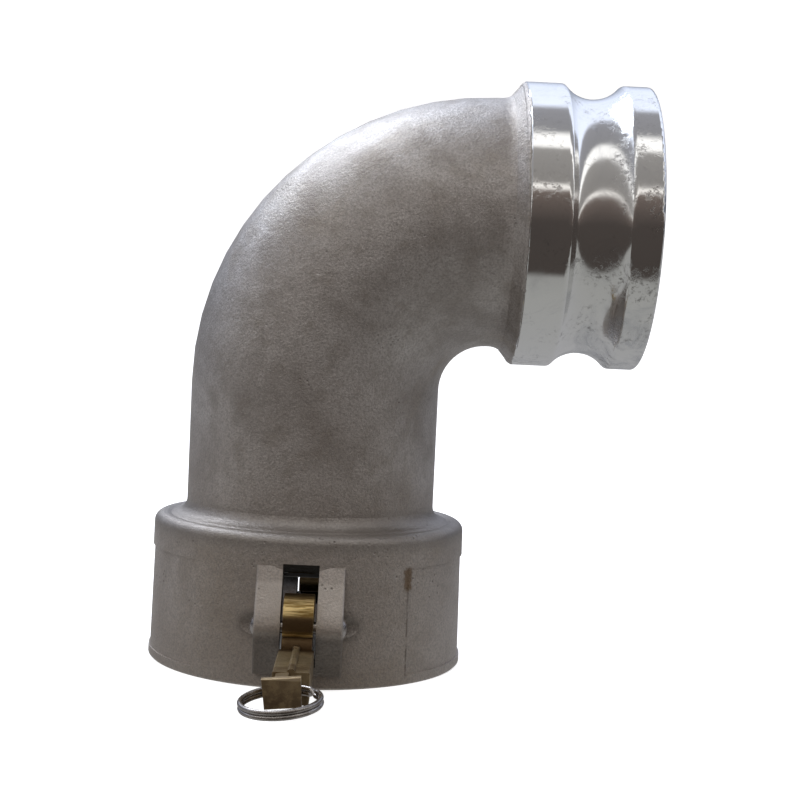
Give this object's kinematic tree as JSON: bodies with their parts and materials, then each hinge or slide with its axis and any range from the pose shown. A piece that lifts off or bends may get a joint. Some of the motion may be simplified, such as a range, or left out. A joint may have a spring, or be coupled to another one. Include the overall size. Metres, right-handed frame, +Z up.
{
  "type": "camlock elbow coupling",
  "caption": "Cast 90 degree elbow with a cam-and-groove coupler, two brass cam arms with pull rings, and a grooved male adapter end.",
  "frame": {"origin": "centre of the coupler's open mouth, on its axis", "axes": "+Z up the coupler's axis into the elbow, +X along the outlet towards the male end, cam arms at -Y (front) and +Y (rear)"},
  "size_m": [0.2013, 0.2946, 0.2474],
  "materials": {
    "cast_aluminium": "sand-cast and tumbled, with the male end turned bright",
    "brass": "cast brass, dull and oxidised, cam face turned",
    "stainless_steel": "satin",
    "rubber": "matt black nitrile"
  },
  "bodies": {
    "coupling": {"elbow_body": "cast_aluminium", "socket_gasket": "rubber", "pivot_pin_front": "stainless_steel", "pivot_pin_rear": "stainless_steel"},
    "front_arm": {"cam_arm_front": "brass"},
    "rear_arm": {"cam_arm_rear": "brass"},
    "front_ring": {"pull_ring_front": "stainless_steel"},
    "rear_ring": {"pull_ring_rear": "stainless_steel"}
  },
  "joints": [
    {"name": "front_cam_hinge", "type": "hinge", "parent": "coupling", "child": "front_arm", "pos_m": [0, -0.0684, 0.0248], "axis": [-1, 0, 0], "range_deg": [0, 90]},
    {"name": "rear_cam_hinge", "type": "hinge", "parent": "coupling", "child": "rear_arm", "pos_m": [0, 0.0684, 0.0248], "axis": [1, 0, 0], "range_deg": [0, 90]},
    {"name": "front_ring_hinge", "type": "hinge", "parent": "front_arm", "child": "front_ring", "pos_m": [-0.0025, -0.11835, 0.0129], "axis": [0.9954, 0, 0.0958], "range_deg": [-77, 95]},
    {"name": "rear_ring_hinge", "type": "hinge", "parent": "rear_arm", "child": "rear_ring", "pos_m": [0.0025, 0.11835, 0.0129], "axis": [-0.9954, 0, 0.0958], "range_deg": [-77, 95]}
  ]
}
